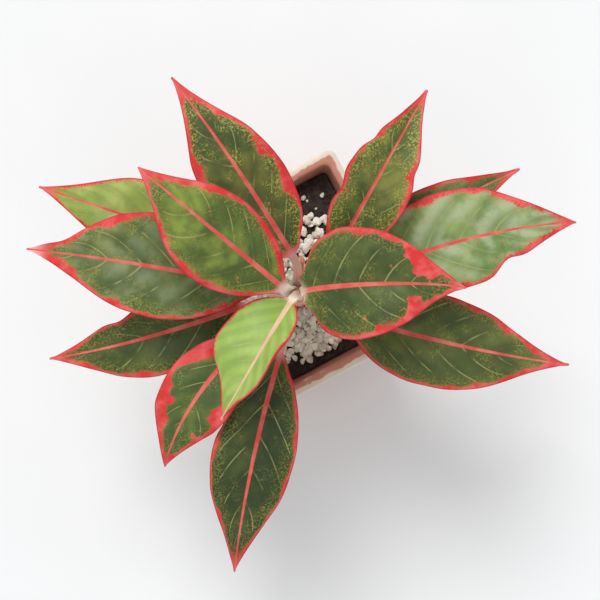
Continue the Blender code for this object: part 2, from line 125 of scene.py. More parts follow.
class Finish:
    """A node material put together step by step."""

    def __init__(self, name, roughness, specular=0.5):
        self.material = bpy.data.materials.new(name)
        self.material.use_nodes = True
        self.tree = self.material.node_tree
        self.shader = self.tree.nodes["Principled BSDF"]
        self.shader.inputs["Roughness"].default_value = roughness
        self.shader.inputs["Specular IOR Level"].default_value = specular

    def node(self, kind, **settings):
        made = self.tree.nodes.new(kind)
        for key, value in settings.items():
            setattr(made, key, value)
        return made

    def wire(self, source, target):
        """Joins a socket to a target, or sets the target to a plain value."""
        if hasattr(source, "is_output"):
            self.tree.links.new(source, target)
        else:
            target.default_value = source

    def place(self):
        return self.node("ShaderNodeTexCoord").outputs["Object"]

    def moved_place(self, offset):
        shift = self.node("ShaderNodeMapping")
        shift.inputs["Location"].default_value = offset
        self.wire(self.place(), shift.inputs["Vector"])
        return shift.outputs["Vector"]

    def attribute(self, name):
        return self.node("ShaderNodeAttribute", attribute_name=name).outputs["Fac"]

    def noise(self, scale, detail=4.0, rough=0.55, where=None):
        made = self.node("ShaderNodeTexNoise")
        made.inputs["Scale"].default_value = scale
        made.inputs["Detail"].default_value = detail
        made.inputs["Roughness"].default_value = rough
        self.wire(self.place() if where is None else where, made.inputs["Vector"])
        return made.outputs["Fac"]

    def cells(self, scale):
        made = self.node("ShaderNodeTexVoronoi")
        made.inputs["Scale"].default_value = scale
        self.wire(self.place(), made.inputs["Vector"])
        return made.outputs["Distance"]

    def maths(self, operation, a, b=0.0, clamp=False):
        made = self.node("ShaderNodeMath", operation=operation, use_clamp=clamp)
        self.wire(a, made.inputs[0])
        self.wire(b, made.inputs[1])
        return made.outputs[0]

    def times(self, a, b):
        return self.maths("MULTIPLY", a, b)

    def plus(self, a, b):
        return self.maths("ADD", a, b)

    def minus(self, a, b):
        return self.maths("SUBTRACT", a, b)

    def larger(self, a, b):
        return self.maths("MAXIMUM", a, b)

    def sway(self, value, reach):
        """A noise from 0 to 1 turned into one that swings about zero."""
        return self.times(self.minus(value, 0.5), reach)

    def span(self, value, low, high, out_low=0.0, out_high=1.0):
        """Eases from out_low to out_high as the value goes from low to high."""
        made = self.node("ShaderNodeMapRange", interpolation_type="SMOOTHSTEP")
        self.wire(value, made.inputs["Value"])
        for key, number in zip(("From Min", "From Max", "To Min", "To Max"), (low, high, out_low, out_high)):
            made.inputs[key].default_value = number
        return made.outputs[0]

    def mix(self, share, a, b):
        made = self.node("ShaderNodeMix", data_type="RGBA")
        self.wire(share, made.inputs["Factor"])
        self.wire(a, made.inputs[6])
        self.wire(b, made.inputs[7])
        return made.outputs[2]

    def vein(self):
        """1 along the side veins and 0 half way between them."""
        saw = self.maths("FRACT", self.attribute("vein_phase"))
        saw = self.minus(self.times(saw, 2.0), 1.0)
        return self.minus(1.0, self.maths("ABSOLUTE", saw))

    def bump(self, height, strength, distance, under=None):
        made = self.node("ShaderNodeBump")
        made.inputs["Strength"].default_value = strength
        made.inputs["Distance"].default_value = distance
        self.wire(height, made.inputs["Height"])
        if under is not None:
            self.wire(under, made.inputs["Normal"])
        return made.outputs["Normal"]

    def done(self, colour, roughness, normal):
        self.wire(colour, self.shader.inputs["Base Color"])
        self.wire(roughness, self.shader.inputs["Roughness"])
        self.wire(normal, self.shader.inputs["Normal"])
        return self.material


def darker(colour, share):
    return linear(*[channel * share for channel in colour])


def leaf_finish(name, seed, centre, olive, margin, redness, base_red, speckle, silver_and_sheen, lime, tip, stalk_tone):
    """Upper face of one leaf: green with a coral rib and a ragged coral margin.

    margin is the coral's least width in mm, redness the most that patches of it add, and base_red the
    share of redness near the blade's base. speckle and the silver strength run from 0 to 1; the pale silver streaks
    are partly the leaf's own silvering and partly painted sheen.
    """
    f = Finish(name, 0.42, specular=0.24)
    edge = f.attribute("edge_mm")
    rib = f.attribute("rib_mm")
    vein = f.vein()
    along = f.attribute("along")
    where = f.moved_place((0.37 * seed, 0.21 * seed, 0.11 * seed))

    def moved(scale, detail, rough=0.6):
        return f.noise(scale, detail, rough, where)

    broad = moved(38, 3)
    patch = moved(85, 4)
    fine = moved(900, 3, 0.7)
    grain = moved(2600, 2, 0.6)

    # green ground, darker along the veins
    ground = f.mix(f.span(broad, 0.40, 0.66), linear(*centre), linear(*olive))
    ground = f.mix(f.times(f.span(vein, 0.15, 0.85), 0.30), ground, darker(centre, 0.72))
    ground = f.mix(f.times(f.span(grain, 0.35, 0.7), 0.14), ground, linear(*olive))
    # pale silver streaks between the veins: partly the leaf's own silvering, partly painted sheen standing in for
    # gloss highlights
    if silver_and_sheen:
        silver_and_sheen_streak = f.times(f.span(vein, 0.1, 0.9, 1.0, 0.35), f.span(moved(60, 4), 0.36, 0.60))
        ground = f.mix(f.times(silver_and_sheen_streak, silver_and_sheen), ground, linear(176, 188, 152))

    # yellow-green speckle that thickens towards the margin
    near = f.span(edge, 2.0, 12.0, 1.0, 0.0)
    thick = f.times(f.maths("ADD", near, f.span(patch, 0.48, 0.68), clamp=True), speckle)
    ground = f.mix(f.times(f.span(fine, 0.50, 0.58), thick), ground, linear(172, 166, 74))

    # fine pale side veins
    line = f.times(f.span(vein, 0.90, 0.985), f.span(moved(70, 2), 0.40, 0.62))
    line = f.times(line, f.span(edge, 2.0, 6.0))
    ground = f.mix(f.times(line, 0.62), ground, linear(176, 178, 112))

    # coral margin with a ragged inner boundary, and loose flecks
    ragged = f.plus(f.sway(patch, 8.0), f.sway(fine, 8.0))
    wide = f.times(f.span(broad, 0.40, 0.72, 0.0, redness), f.span(along, 0.30, 0.60, base_red, 1.0))
    reach = f.minus(f.plus(edge, ragged), wide)
    coral = f.span(reach, margin - 0.8, margin + 0.8, 1.0, 0.0)
    coral = f.larger(coral, f.span(edge, 0.7, 1.3, 1.0, 0.0))
    coral = f.larger(coral, f.times(f.span(moved(170, 4), 0.69, 0.74), 0.7))
    coral = f.larger(coral, f.span(along, 0.86, 0.975))
    red = f.mix(f.span(patch, 0.38, 0.68), linear(214, 54, 54), linear(236, 104, 102))
    red = f.mix(f.span(edge, 0.2, 1.0, 0.6, 0.0), red, linear(166, 34, 44))
    red = f.mix(f.span(along, 0.88, 0.99), red, linear(*tip))
    if lime:
        coral = f.times(coral, f.span(edge, 1.2, 2.6, 1.0, 0.25))
    body = f.mix(coral, ground, red)

    # midrib, narrower towards the tip
    rose = linear(226, 200, 160) if lime else linear(218, 80, 74)
    pale = linear(232, 176, 150) if lime else linear(232, 122, 112)
    rib_colour = f.mix(f.span(patch, 0.35, 0.7), rose, pale)
    rib_limit = f.span(along, 0.0, 1.0, 1.9, 0.75)
    body = f.mix(f.span(f.minus(rib_limit, rib), 0.0, 0.55), body, rib_colour)

    # stalk and sheath: pink, creamy towards the stem
    stalk = f.mix(f.span(broad, 0.35, 0.65), linear(*stalk_tone), darker(stalk_tone, 0.93))
    stalk = f.mix(f.span(along, -1.0, -0.45, 1.0, 0.0), stalk, linear(255, 251, 240))
    body = f.mix(f.span(along, -0.03, 0.05, 1.0, 0.0), body, stalk)
    lift = f.plus(f.times(fine, 0.5), f.times(grain, 0.4))
    return f.done(body, f.span(patch, 0.3, 0.7, 0.36, 0.52), f.bump(lift, 0.22, 0.0004))


def leaf_underside_finish():
    f = Finish("leaf_underside", 0.55)
    along = f.attribute("along")
    fine = f.noise(700, 3, 0.7)
    patch = f.noise(70, 4)
    ground = f.mix(f.span(patch, 0.35, 0.68), linear(112, 132, 88), linear(140, 152, 104))
    ground = f.mix(f.times(f.span(f.vein(), 0.8, 0.98), 0.4), ground, linear(176, 178, 130))
    ragged = f.plus(f.attribute("edge_mm"), f.sway(patch, 8.0))
    body = f.mix(f.span(ragged, 2.0, 3.6, 1.0, 0.0), ground, linear(206, 112, 108))
    body = f.mix(f.span(f.attribute("rib_mm"), 1.3, 2.2, 1.0, 0.0), body, linear(222, 150, 140))
    stalk = f.mix(f.span(patch, 0.35, 0.65), linear(236, 186, 172), linear(222, 146, 136))
    stalk = f.mix(f.span(along, -1.0, -0.45, 1.0, 0.0), stalk, linear(240, 226, 206))
    body = f.mix(f.span(along, -0.03, 0.03, 1.0, 0.0), body, stalk)
    return f.done(body, f.span(fine, 0.3, 0.7, 0.48, 0.62), f.bump(fine, 0.2, 0.0004))


def terracotta_finish():
    """Fired clay, limewashed on the outer faces and the rim's outer edge, with painted shade darkening the inside
    below the rim.
    """
    f = Finish("terracotta", 0.85, specular=0.25)
    broad = f.noise(26, 5, 0.6)
    patch = f.noise(95, 5, 0.62)
    fine = f.noise(1500, 4, 0.65)
    clay = f.mix(f.span(broad, 0.35, 0.68), linear(204, 142, 124), linear(178, 112, 94))
    clay = f.mix(f.times(f.span(patch, 0.5, 0.75), 0.55), clay, linear(216, 160, 142))
    clay = f.mix(f.times(f.span(fine, 0.55, 0.8), 0.35), clay, linear(120, 62, 48))
    ragged = f.plus(f.attribute("wash"), f.plus(f.sway(patch, 0.9), f.sway(fine, 0.35)))
    lime = f.mix(f.span(broad, 0.3, 0.7), linear(236, 222, 206), linear(218, 196, 178))
    body = f.mix(f.span(ragged, 0.44, 0.60), clay, lime)
    # painted shade: the inner walls darken in patches deeper below the rim
    inner_shade_share = f.times(f.attribute("painted_inner_shade"), f.span(patch, 0.2, 0.8, 0.45, 0.8))
    body = f.mix(inner_shade_share, body, linear(96, 50, 40))
    normal = f.bump(fine, 0.35, 0.0005)
    normal = f.bump(f.span(f.cells(900), 0.0, 0.35), 0.18, 0.0004, normal)
    return f.done(body, f.span(patch, 0.3, 0.7, 0.78, 0.94), normal)


def gravel_finish():
    f = Finish("white_gravel", 0.8)
    patch = f.noise(420, 4, 0.6)
    fine = f.noise(2600, 3, 0.6)
    stone = f.mix(f.attribute("tone"), linear(255, 252, 242), linear(206, 198, 184))
    stone = f.mix(f.times(f.span(patch, 0.5, 0.7), 0.5), stone, linear(222, 208, 184))
    stone = f.mix(f.times(f.span(fine, 0.58, 0.78), 0.25), stone, linear(160, 150, 136))
    return f.done(stone, f.span(patch, 0.3, 0.7, 0.62, 0.9), f.bump(fine, 0.35, 0.0004))


def soil_finish():
    f = Finish("potting_mix", 0.95)
    patch = f.noise(260, 5, 0.65)
    fine = f.noise(1600, 4, 0.7)
    grit = f.span(f.cells(520), 0.08, 0.16, 1.0, 0.0)
    earth = f.mix(f.span(patch, 0.35, 0.7), linear(38, 30, 26), linear(72, 60, 52))
    earth = f.mix(f.times(f.span(fine, 0.55, 0.75), 0.5), earth, linear(96, 78, 64))
    earth = f.mix(f.times(grit, 0.35), earth, linear(150, 138, 120))
    return f.done(earth, f.span(fine, 0.3, 0.7, 0.8, 1.0), f.bump(fine, 0.8, 0.0012))


def stem_finish(name, skin, scar):
    """Fleshy stalk skin with scars."""
    f = Finish(name, 0.5)
    patch = f.noise(240, 4, 0.6)
    fine = f.noise(1500, 3, 0.65)
    lighter = [min(255, channel * 1.12) for channel in skin]
    body = f.mix(f.span(patch, 0.35, 0.7), linear(*skin), linear(*lighter))
    body = f.mix(f.times(f.span(fine, 0.58, 0.68), 0.7), body, linear(*scar))
    return f.done(body, f.span(patch, 0.3, 0.7, 0.42, 0.62), f.bump(fine, 0.3, 0.0005))


# ---------------------------------------------------------------- leaves


def place(reach, bearing, height):
    """A point at a reach in mm and a bearing in degrees from the stem's axis, at a height in mm."""
    turn = math.radians(bearing)
    return np.array((AXIS[0] + reach * MM * math.cos(turn), AXIS[1] + reach * MM * math.sin(turn), height * MM))


def direction(bearing, slope):
    """A unit vector, from degrees round the axis and degrees above level."""
    turn, lift = math.radians(bearing), math.radians(slope)
    level = math.cos(lift)
    return np.array((level * math.cos(turn), level * math.sin(turn), math.sin(lift)))


def bezier(ends, share):
    """The point at a share of a four-point curve, and the curve's direction there."""
    a, b, c, d = ends
    rest = 1 - share
    point = rest**3 * a + 3 * rest**2 * share * b + 3 * rest * share**2 * c + share**3 * d
    slope = rest**2 * (b - a) + 2 * rest * share * (c - b) + share**2 * (d - c)
    return point, slope / np.linalg.norm(slope)


def smooth(low, high, value):
    share = min(max((value - low) / (high - low), 0.0), 1.0)
    return share * share * (3 - 2 * share)


def stem_radius(z):
    share = min(max((z - SOIL_TOP) / (STEM_TOP - SOIL_TOP), 0.0), 1.0)
    return STEM_FOOT_RADIUS + (STEM_HEAD_RADIUS - STEM_FOOT_RADIUS) * share


def sheath_share(share):
    """1 where a stalk clasps the stem and 0 where its sheath has ended."""
    return 1 - smooth(-1.0, -0.62, share)


# h is the height on the stem in mm, or None on its tip. base and tip are the blade's ends: reach in mm, bearing
# and height in mm. rise, droop, bow, fold and roll are angles, halves are the half widths in mm left and right of
# the midrib, and a notch is (side, place along the blade, spread, depth).
LEAVES = {
    "leaf_01": dict(
        h=107, base=(32, 161, 165), tip=(157, 166, 150), rise=26, droop=26, halves=(24, 19), bow=6,
        notches=((-1, 0.60, 0.07, 0.20),),
    ),
    "leaf_02": dict(
        h=110, base=(30, 311, 168), tip=(171, 318, 152), rise=26, droop=28, halves=(27, 28), bow=-5, peak=0.41
    ),
    "leaf_03": dict(
        h=109, base=(35, 225, 166), tip=(174, 229, 145), rise=26, droop=34, halves=(24, 25), bow=-5,
        notches=((-1, 0.33, 0.06, 0.10),),
    ),
    "leaf_04": dict(h=114, base=(34, 111, 168), tip=(169, 129, 168), rise=28, droop=26, halves=(24, 25)),
    "leaf_05": dict(h=112, base=(38, 14, 172), tip=(151, 2, 182), rise=30, droop=24, halves=(15, 18), fold=28),
    "leaf_06": dict(h=117, base=(38, 194, 176), tip=(130, 204, 165), rise=26, droop=42, halves=(22, 22), bow=-20),
    "leaf_07": dict(
        h=125, base=(22, 138, 182), tip=(162, 142, 185), rise=26, droop=22, halves=(29, 31), bow=-3,
        notches=((-1, 0.85, 0.06, 0.22),),
    ),
    "leaf_08": dict(
        h=122, base=(29, 348, 184), tip=(168, 347, 192), rise=28, droop=22, halves=(30, 27), bow=11, peak=0.50,
        notches=((-1, 0.68, 0.06, 0.24),),
    ),
    "leaf_09": dict(
        h=123, base=(24, 69, 190), tip=(144, 92, 212), rise=28, droop=12, halves=(25, 23), bow=-3, slim=0.72
    ),
    "leaf_10": dict(
        h=134, base=(29, 19, 190), tip=(138, 30, 215), rise=30, droop=16, halves=(20, 23), fold=34,
        notches=((1, 0.38, 0.07, 0.16), (-1, 0.60, 0.05, 0.10), (1, 0.66, 0.04, 0.12)),
    ),
    "leaf_11": dict(
        h=143, base=(5, 15, 200), tip=(96, 335, 212), rise=50, droop=40, halves=(32, 30), bow=10, peak=0.41,
        side=330, stalk=2.5, slim=0.70,
    ),
    "leaf_12": dict(
        h=144, base=(10, 121, 200), tip=(114, 113, 232), rise=36, droop=10, halves=(28, 23), peak=0.52,
        stalk=3.4, slim=0.74,
    ),
    "leaf_13": dict(
        h=None, base=(4, 181, 196), tip=(83, 210, 205), rise=38, droop=30, halves=(16, 29), fold=30, roll=40,
        stalk=2.4,
    ),
}
# stalk is its half width in mm, slim under 1 fills the blade's base, peak is where the blade is widest, and side
# is the bearing that the stalk leaves the stem at, when it isn't the blade's own
USUAL = dict(stalk=1.9, slim=0.88, bow=0, roll=0, fold=15, peak=0.46, side=None, notches=())

# silver strengths below give pale streaks that are partly silvering and partly painted sheen
LEAF_LOOK = {
    "leaf_01": dict(centre=(58, 74, 36), olive=(88, 98, 50), margin=1.5, redness=2.5, speckle=0.4),
    "leaf_02": dict(centre=(76, 90, 48), olive=(106, 114, 62), margin=1.7, redness=3.0, speckle=0.4),
    "leaf_03": dict(centre=(52, 68, 38), olive=(78, 90, 48), margin=1.3, redness=1.5, speckle=0.45),
    "leaf_04": dict(centre=(138, 160, 74), olive=(182, 196, 112), margin=1.3, redness=1.5, speckle=0.4),
    "leaf_05": dict(centre=(80, 106, 60), olive=(116, 138, 84), margin=1.5, redness=2.0, speckle=0.3),
    "leaf_06": dict(centre=(72, 94, 48), olive=(104, 120, 62), margin=2.6, redness=11.0, speckle=0.4),
    "leaf_07": dict(centre=(80, 98, 50), olive=(118, 128, 70), margin=2.2, redness=4.5, speckle=0.5, silver_and_sheen=0.25,
                    tip=(250, 182, 188)),
    "leaf_08": dict(centre=(104, 132, 70), olive=(150, 172, 104), margin=1.9, redness=3.5, speckle=0.3, silver_and_sheen=0.8,
                    tip=(232, 84, 90)),
    "leaf_09": dict(centre=(70, 84, 44), olive=(112, 114, 56), margin=2.2, redness=6.0, speckle=0.9),
    "leaf_10": dict(centre=(84, 98, 50), olive=(128, 132, 68), margin=1.7, redness=2.0, speckle=0.9),
    "leaf_11": dict(centre=(68, 84, 44), olive=(92, 106, 54), margin=2.4, redness=20.0, base_red=0.0, speckle=0.45,
                    tip=(246, 150, 146), stalk_tone=(250, 226, 208)),
    "leaf_12": dict(centre=(82, 100, 48), olive=(138, 156, 68), margin=2.6, redness=3.5, speckle=0.5,
                    stalk_tone=(255, 250, 238)),
    "leaf_13": dict(centre=(144, 176, 82), olive=(168, 196, 104), margin=0.9, redness=0.5, speckle=0.1, lime=True,
                    stalk_tone=(255, 246, 230)),
}
USUAL_LOOK = dict(silver_and_sheen=0.0, lime=False, base_red=1.0, tip=(226, 92, 96), stalk_tone=(250, 204, 194))


def midrib(leaf):
    """The four points of the curve along a blade."""
    start, end = place(*leaf["base"]), place(*leaf["tip"])
    chord = end - start
    bearing = math.degrees(math.atan2(chord[1], chord[0]))
    reach = 0.36 * np.linalg.norm(chord)
    leave = direction(bearing + leaf["bow"], leaf["rise"])
    arrive = direction(bearing - leaf["bow"], -leaf["droop"])
    return start, start + reach * leave, end - reach * arrive, end


def stalk_bearing(leaf):
    return leaf["base"][1] if leaf["side"] is None else leaf["side"]


def stalk_line(leaf):
    """The four points of the curve from the stem to a blade's base."""
    end, after = midrib(leaf)[:2]
    bearing = stalk_bearing(leaf)
    if leaf["h"] is None:
        start = place(-PETIOLE_THICK / MM / 2, bearing, STEM_TOP / MM + 0.3)
        lean = 0.0
    else:
        radius = (stem_radius(leaf["h"] * MM) + SHEATH_GAP) / MM
        start = place(radius, bearing, leaf["h"])
        lean = math.degrees(math.atan2(leaf["base"][0] - radius, leaf["base"][2] - leaf["h"]))
    span = np.linalg.norm(end - start)
    leave = direction(bearing, 90 - min(max(0.8 * lean, 0), 60))
    arrive = (after - end) / np.linalg.norm(after - end) + np.array((0.0, 0.0, 1.1))
    arrive = arrive / np.linalg.norm(arrive)
    return start, start + 0.4 * span * leave, end - 0.3 * span * arrive, end


def outline(share, peak, slim):
    """A blade's half width at a share of its length, 1 at its peak."""
    if share <= 0 or share >= 1:
        return 0.0
    rise = (share / peak) ** (2.2 * peak * slim)
    fall = ((1 - share) / (1 - peak)) ** (2.2 * (1 - peak))
    return rise * fall * (1 - 0.30 * smooth(0.60, 0.95, share))


def leaf_axes(leaf, share):
    """Centre, left and up of one cross-section, turned from the stalk's bearing to the blade's own."""
    if share < 0:
        point, along = bezier(stalk_line(leaf), share + 1)
        turn = math.radians(stalk_bearing(leaf))
        ends = midrib(leaf)
        ahead = ends[1] - ends[0]
        mix = smooth(-0.5, 0.0, share)
        heading = np.array((math.cos(turn), math.sin(turn), 0.0)) * (1 - mix)
        heading = heading + mix * ahead / np.linalg.norm(ahead[:2])
    else:
        point, along = bezier(midrib(leaf), share)
        heading = along
    left = np.array((-heading[1], heading[0], 0.0))
    left -= along * (left @ along)
    left /= np.linalg.norm(left)
    up = np.cross(along, left)
    roll = math.radians(leaf["roll"]) * smooth(-0.15, 0.45, share)
    return point, left * math.cos(roll) + up * math.sin(roll), up * math.cos(roll) - left * math.sin(roll)


def half_width(leaf, share, across, stalk, seed):
    """From the midrib to the margin, on the side that across is on."""
    sign = 1 if across > 0 else -1
    half = leaf["halves"][0 if across > 0 else 1] * MM * outline(share, leaf["peak"], leaf["slim"])
    for side, centre, spread, depth in leaf["notches"]:
        if side == sign:
            half *= 1 - depth * math.exp(-(((share - centre) / spread) ** 2))
    if share > 0:
        half *= 1 + 0.018 * noise.noise(Vector((share * 9, sign * 3.1, seed)))
    return math.hypot(stalk, half)


def blade_relief(share, across, width, phase, mix, seed):
    """Height that a blade's waves, ripples, veins and rib add."""
    size = abs(across)
    swing = 2 * math.pi * (WAVES * share + (0.21 if across > 0 else 0))
    swell = math.sin(math.pi * share) ** 0.7
    lift = WAVE_HEIGHT * size**1.6 * math.sin(swing) * swell
    lift += 0.6 * MM * size**3 * swell * noise.noise(Vector((share * 14, across * 2, seed + 5)))
    crease = 1 - abs(2 * (phase % 1.0) - 1)
    lift -= 0.42 * MM * crease**3 * min(1.0, 5 * size) * (1 - size**2) * swell
    ridge = max(0.0, 1 - (width / RIB_HALF) ** 2)
    return lift + 0.45 * MM * ridge * mix * (1 - share)


def leaf_row(leaf, share, columns, seed):
    """Points of one cross-section, each with its distances from the margin and the midrib in mm.

    share runs from -1 at the stem to 0 at the blade's base and 1 at its tip.
    """
    point, left, up = leaf_axes(leaf, share)
    sheath = 0.0 if leaf["h"] is None else sheath_share(share)
    stalk = leaf["stalk"] * MM + (SHEATH_HALF - PETIOLE_HALF) * sheath
    stalk *= 1 - 0.9 * smooth(0.0, 1.0, share)
    bend = (1 - sheath) / CHANNEL_RADIUS
    if sheath > 0:
        bend += sheath / (stem_radius(leaf["h"] * MM) + SHEATH_GAP)
    mix = smooth(-0.05, 0.12, share)
    row = []
    for across in columns:
        size = abs(across)
        half = half_width(leaf, share, across, stalk, seed)
        width = half * size
        tilt = math.radians(leaf["fold"] - LEAF_CURL * size / 2)
        out = math.sin(bend * width) / bend
        lift = (1 - math.cos(bend * width)) / bend
        out += (width * math.cos(tilt) - out) * mix
        lift += (width * math.sin(tilt) - lift) * mix
        phase = SIDE_VEINS * (share - 0.17 * size - 0.10 * size * size) + 0.25 * across
        if share > 0:
            lift += blade_relief(share, across, width, phase, mix, seed)
        here = point + (out if across > 0 else -out) * left + lift * up
        row.append((here, half * (1 - size) / MM, width / MM, phase, across))
    return row


def leaf_depth(share, across, rib_mm):
    """Thickness: round on the stalk, thin on the blade, and stout along the rib."""
    stout = PETIOLE_THICK * (1 - 0.66 * smooth(-0.2, 0.9, share))
    rounded = math.sqrt(max(0.12, 1 - 0.8 * across**2))
    if share < 0:
        return stout * (1 - 0.45 * sheath_share(share) * abs(across)) * rounded
    blade = max(BLADE_THICK, stout * math.sqrt(max(0.0, 1 - (rib_mm * MM / RIB_HALF) ** 2)))
    return stout * rounded + (blade - stout * rounded) * smooth(0.0, 0.07, share)


def leaf_stations():
    """Shares of the cross-sections, closer together at a blade's ends."""
    stalk_rows, blade_rows = 22, 88
    stations = [-1 + k / stalk_rows for k in range(stalk_rows)]
    for k in range(blade_rows + 1):
        even = k / blade_rows
        stations.append(0.6 * even + 0.4 * (1 - math.cos(math.pi * even)) / 2)
    stations[-1] = 0.998
    return stations


def make_leaf(node, leaf, index):
    """A grid shaped row by row, then thickened downwards."""
    half_columns = 16
    stations = leaf_stations()
    columns = [k / half_columns for k in range(-half_columns, half_columns + 1)]
    bpy.ops.object.select_all(action="DESELECT")
    bpy.ops.mesh.primitive_grid_add(x_subdivisions=len(stations) - 1, y_subdivisions=len(columns) - 1, size=2)
    item = bpy.context.object
    item.name = f"foliage_{index + 1:02d}"
    mesh = item.data
    count = len(mesh.vertices)
    flat = np.empty(count * 3)
    mesh.vertices.foreach_get("co", flat)
    flat = flat.reshape(-1, 3)
    order = np.lexsort((flat[:, 1].round(5), flat[:, 0].round(5)))
    points = np.empty((count, 3))
    facts = {key: np.zeros(count) for key in ("edge_mm", "rib_mm", "vein_phase", "along")}
    depth = np.zeros(count)
    for row, share in enumerate(stations):
        for column, (here, edge, rib, phase, across) in enumerate(leaf_row(leaf, share, columns, index)):
            vertex = order[row * len(columns) + column]
            points[vertex] = here
            facts["edge_mm"][vertex] = edge
            facts["rib_mm"][vertex] = rib
            facts["vein_phase"][vertex] = phase
            facts["along"][vertex] = share
            depth[vertex] = leaf_depth(share, across, rib)
    mesh.vertices.foreach_set("co", points.ravel())
    for key, values in facts.items():
        mesh.attributes.new(key, "FLOAT", "POINT").data.foreach_set("value", values)
    group = item.vertex_groups.new(name="thickness")
    for vertex, value in enumerate(depth):
        group.add([vertex], float(value / PETIOLE_THICK), "REPLACE")
    shell = item.modifiers.new("thickness", "SOLIDIFY")
    shell.thickness = PETIOLE_THICK
    shell.offset = -1.0
    shell.vertex_group = group.name
    shell.material_offset = 1
    look = {**USUAL_LOOK, **LEAF_LOOK[node]}
    mesh.materials.append(leaf_finish(f"{node}_upper", seed=index + 1, **look))
    mesh.materials.append(underside)
    apply_all(item)
    bpy.ops.object.shade_smooth_by_angle(angle=math.radians(50))
    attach(item, "root")
    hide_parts(node)


underside = leaf_underside_finish()
for number, (leaf_node, own_facts) in enumerate(LEAVES.items()):
    make_leaf(leaf_node, {**USUAL, **own_facts}, number)


# ---------------------------------------------------------------- pot


def pot_levels():
    """(half width, height) up the outside, over the rim and down the inside."""
    band = POT_HEIGHT - BAND_HEIGHT
    under = RIM_HALF - BAND_STEP
    mouth = RIM_HALF - WALL
    floor = FOOT_HALF - WALL
    # rounded foot and sloping wall
    levels = [(FOOT_HALF - 0.0016, 0.0), (FOOT_HALF - 0.0004, 0.0005), (FOOT_HALF, 0.0017)]
    for k in range(1, 6):
        share = k / 6
        levels.append((FOOT_HALF + (under - FOOT_HALF) * share, 0.0017 + (band - 0.003) * share))
    # step out under the rim band, and the band itself
    levels += [
        (under - 0.0004, band - 0.0012),
        (under + 0.0003, band - 0.0003),
        (under + 0.0014, band + 0.0001),
        (RIM_HALF - 0.0014, band + 0.0004),
        (RIM_HALF - 0.0005, band + 0.0010),
        (RIM_HALF - 0.0002, band + 0.0022),
        (RIM_HALF - 0.0001, band + 0.012),
    ]
    # over the rim
    levels += [
        (RIM_HALF, POT_HEIGHT - 0.0026),
        (RIM_HALF - 0.0004, POT_HEIGHT - 0.0012),
        (RIM_HALF - 0.0013, POT_HEIGHT - 0.0004),
        (RIM_HALF - 0.0028, POT_HEIGHT),
        (mouth + 0.0016, POT_HEIGHT - 0.0001),
        (mouth + 0.0005, POT_HEIGHT - 0.0007),
        (mouth, POT_HEIGHT - 0.0019),
        (mouth - 0.0006, POT_HEIGHT - 0.008),
    ]
    # down the inside to the floor
    for k in range(1, 4):
        share = k / 4
        levels.append((mouth - 0.0006 + (floor - mouth) * share, POT_HEIGHT - 0.008 - (POT_HEIGHT - 0.023) * share))
    levels += [(floor, FLOOR_THICKNESS + 0.004), (floor - 0.003, FLOOR_THICKNESS)]
    return levels


